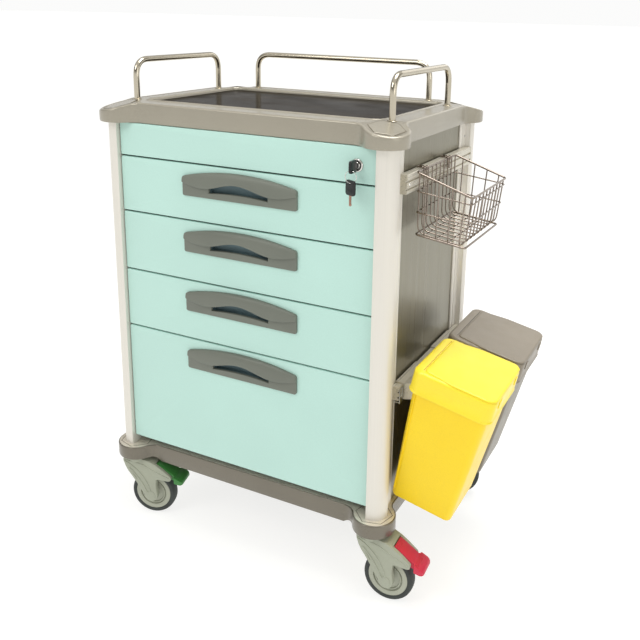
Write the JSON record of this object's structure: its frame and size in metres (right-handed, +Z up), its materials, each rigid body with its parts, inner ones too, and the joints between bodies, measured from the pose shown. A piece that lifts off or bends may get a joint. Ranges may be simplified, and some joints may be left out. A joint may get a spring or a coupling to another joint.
{
  "type": "medication cart",
  "caption": "Ward medication cart with lockable drawers, lobed tray with guard rails, lobed base on swivel casters, accessory rails, wire basket and clip-on waste bins.",
  "frame": {"origin": "on the floor, under the middle of the whole cart's bounding box, with its bins and basket on", "axes": "+Z up; the drawer fronts face -Y; +X is the cart's right-hand side seen from the front, where the rails, basket and bins are"},
  "size_m": [0.8342, 0.4884, 1.001],
  "materials": {
    "tray": "champagne-silver sprayed moulding, satin with a soft sheen",
    "base": "champagne-silver sprayed moulding, satin",
    "deck": "dark glossy sheet with faint mottling",
    "stainless": "polished stainless tube",
    "column": "satin anodised extrusion",
    "panel": "satin brushed sheet",
    "zinc": "zinc-plated pressed steel",
    "mint": "mint powder coat with a fine orange peel",
    "handle": "grey moulded plastic, fine texture",
    "chrome": "bright chrome",
    "key_black": "black moulded key head",
    "rail": "satin anodised",
    "wire": "chromed wire",
    "yellow_body": "yellow moulded plastic, fine texture",
    "yellow_lid": "yellow moulded plastic, smooth",
    "grey_body": "dark warm grey moulded plastic",
    "grey_lid": "warm grey moulded plastic",
    "caster": "grey-green moulded nylon",
    "hub": "grey moulded wheel centre",
    "tyre": "dark grey rubber",
    "pedal_green": "green moulded pedal",
    "pedal_red": "red moulded pedal"
  },
  "bodies": {
    "cart": {"top_tray": "tray", "deck_mat": "deck", "guard_rail_left": "stainless", "guard_rail_right": "stainless", "guard_rail_rear": "stainless", "base_plate": "base", "column_fl": "column", "column_fr": "column", "column_rl": "column", "column_rr": "column", "side_panel_left": "panel", "side_panel_right": "panel", "rear_panel": "panel", "runner_wall_left": "zinc", "runner_wall_right": "zinc", "lock_fascia": "mint", "lock_barrel": "chrome", "accessory_rail_upper": "rail", "accessory_rail_lower": "rail", "yellow_bin_hanger": "zinc", "grey_bin_hanger": "zinc"},
    "drawer_1": {"drawer_1_front": "mint", "drawer_1_box": "zinc", "drawer_1_handle": "handle"},
    "drawer_2": {"drawer_2_front": "mint", "drawer_2_box": "zinc", "drawer_2_handle": "handle"},
    "drawer_3": {"drawer_3_front": "mint", "drawer_3_box": "zinc", "drawer_3_handle": "handle"},
    "drawer_4": {"drawer_4_front": "mint", "drawer_4_box": "zinc", "drawer_4_handle": "handle"},
    "lock_core": {"lock_plug": "chrome"},
    "key": {"lock_key": "key_black"},
    "ring": {"key_ring": "chrome"},
    "spare": {"spare_key": "key_black"},
    "lock_bar": {"lock_bar": "zinc"},
    "caster_fl": {"caster_fl_fork": "caster"},
    "wheel_fl": {"caster_fl_hub": "hub", "caster_fl_tyre": "tyre"},
    "pedal_green": {"pedal_green": "pedal_green"},
    "caster_fr": {"caster_fr_fork": "caster"},
    "wheel_fr": {"caster_fr_hub": "hub", "caster_fr_tyre": "tyre"},
    "pedal_red": {"pedal_red": "pedal_red"},
    "caster_rl": {"caster_rl_fork": "caster"},
    "wheel_rl": {"caster_rl_hub": "hub", "caster_rl_tyre": "tyre"},
    "caster_rr": {"caster_rr_fork": "caster"},
    "wheel_rr": {"caster_rr_hub": "hub", "caster_rr_tyre": "tyre"},
    "basket": {"wire_basket": "wire"},
    "yellow_bin": {"yellow_bin_body": "yellow_body"},
    "yellow_lid": {"yellow_bin_lid": "yellow_lid"},
    "yellow_flap": {"yellow_bin_flap": "yellow_lid"},
    "grey_bin": {"grey_bin_body": "grey_body"},
    "grey_lid": {"grey_bin_lid": "grey_lid"},
    "grey_flap": {"grey_bin_flap": "grey_lid"}
  },
  "joints": [
    {"name": "drawer_1_slide", "type": "slide", "parent": "cart", "child": "drawer_1", "axis": [0, -1, 0], "range_m": [0, 0.36]},
    {"name": "drawer_2_slide", "type": "slide", "parent": "cart", "child": "drawer_2", "axis": [0, -1, 0], "range_m": [0, 0.36]},
    {"name": "drawer_3_slide", "type": "slide", "parent": "cart", "child": "drawer_3", "axis": [0, -1, 0], "range_m": [0, 0.36]},
    {"name": "drawer_4_slide", "type": "slide", "parent": "cart", "child": "drawer_4", "axis": [0, -1, 0], "range_m": [0, 0.36]},
    {"name": "lock_turn", "type": "hinge", "parent": "cart", "child": "lock_core", "pos_m": [0.15513, -0.2128, 0.845], "axis": [0, 1, 0], "range_deg": [0, 90]},
    {"name": "lock_bar_lift", "type": "slide", "parent": "cart", "child": "lock_bar", "axis": [0, 0, 1], "range_m": [0, 0.012]},
    {"name": "key_pull", "type": "slide", "parent": "lock_core", "child": "key", "axis": [0, -1, 0], "range_m": [0, 0.023]},
    {"name": "ring_swing", "type": "hinge", "parent": "key", "child": "ring", "pos_m": [0.15513, -0.2332, 0.839], "axis": [1, 0, 0], "range_deg": [-60, 8]},
    {"name": "spare_key_swing", "type": "hinge", "parent": "ring", "child": "spare", "pos_m": [0.15513, -0.2332, 0.818], "axis": [1, 0, 0], "range_deg": [-45, 8]},
    {"name": "caster_fl_swivel", "type": "hinge", "parent": "cart", "child": "caster_fl", "pos_m": [-0.37517, -0.1938, 0.1427], "axis": [0, 0, 1], "continuous": true},
    {"name": "wheel_fl_spin", "type": "hinge", "parent": "caster_fl", "child": "wheel_fl", "pos_m": [-0.3404, -0.18448, 0.05], "axis": [-0.2588, 0.9659, 0], "continuous": true},
    {"name": "pedal_green_press", "type": "hinge", "parent": "caster_fl", "child": "pedal_green", "pos_m": [-0.32494, -0.18034, 0.108], "axis": [-0.2588, 0.9659, 0], "range_deg": [0, 9]},
    {"name": "caster_fr_swivel", "type": "hinge", "parent": "cart", "child": "caster_fr", "pos_m": [0.20083, -0.1938, 0.1427], "axis": [0, 0, 1], "continuous": true},
    {"name": "wheel_fr_spin", "type": "hinge", "parent": "caster_fr", "child": "wheel_fr", "pos_m": [0.23678, -0.19192, 0.05], "axis": [-0.0523, 0.9986, 0], "continuous": true},
    {"name": "pedal_red_press", "type": "hinge", "parent": "caster_fr", "child": "pedal_red", "pos_m": [0.25276, -0.19108, 0.108], "axis": [-0.0523, 0.9986, 0], "range_deg": [0, 9]},
    {"name": "caster_rl_swivel", "type": "hinge", "parent": "cart", "child": "caster_rl", "pos_m": [-0.37517, 0.2022, 0.1427], "axis": [0, 0, 1], "continuous": true},
    {"name": "wheel_rl_spin", "type": "hinge", "parent": "caster_rl", "child": "wheel_rl", "pos_m": [-0.34134, 0.18989, 0.05], "axis": [0.342, 0.9397, 0], "continuous": true},
    {"name": "caster_rr_swivel", "type": "hinge", "parent": "cart", "child": "caster_rr", "pos_m": [0.20083, 0.2022, 0.1427], "axis": [0, 0, 1], "continuous": true},
    {"name": "wheel_rr_spin", "type": "hinge", "parent": "caster_rr", "child": "wheel_rr", "pos_m": [0.23604, 0.20968, 0.05], "axis": [-0.2079, 0.9781, 0], "continuous": true},
    {"name": "basket_lift", "type": "slide", "parent": "cart", "child": "basket", "axis": [0, 0, 1], "range_m": [0, 0.045]},
    {"name": "yellow_bin_lift", "type": "slide", "parent": "cart", "child": "yellow_bin", "axis": [0.1556, 0, 0.9878], "range_m": [0, 0.08]},
    {"name": "yellow_lid_lift", "type": "slide", "parent": "yellow_bin", "child": "yellow_lid", "axis": [0.2113, 0, 0.9774], "range_m": [0, 0.08]},
    {"name": "yellow_flap_open", "type": "hinge", "parent": "yellow_lid", "child": "yellow_flap", "pos_m": [0.28096, -0.0953, 0.47715], "axis": [0, -1, 0], "range_deg": [0, 80]},
    {"name": "grey_bin_lift", "type": "slide", "parent": "cart", "child": "grey_bin", "axis": [0.1556, 0, 0.9878], "range_m": [0, 0.08]},
    {"name": "grey_lid_lift", "type": "slide", "parent": "grey_bin", "child": "grey_lid", "axis": [0.2113, 0, 0.9774], "range_m": [0, 0.08]},
    {"name": "grey_flap_open", "type": "hinge", "parent": "grey_lid", "child": "grey_flap", "pos_m": [0.28096, 0.0867, 0.47715], "axis": [0, -1, 0], "range_deg": [0, 80]}
  ],
  "couplings": [
    {"joint": "lock_turn", "follows": "lock_bar_lift", "rad_per_m": 130.9}
  ]
}
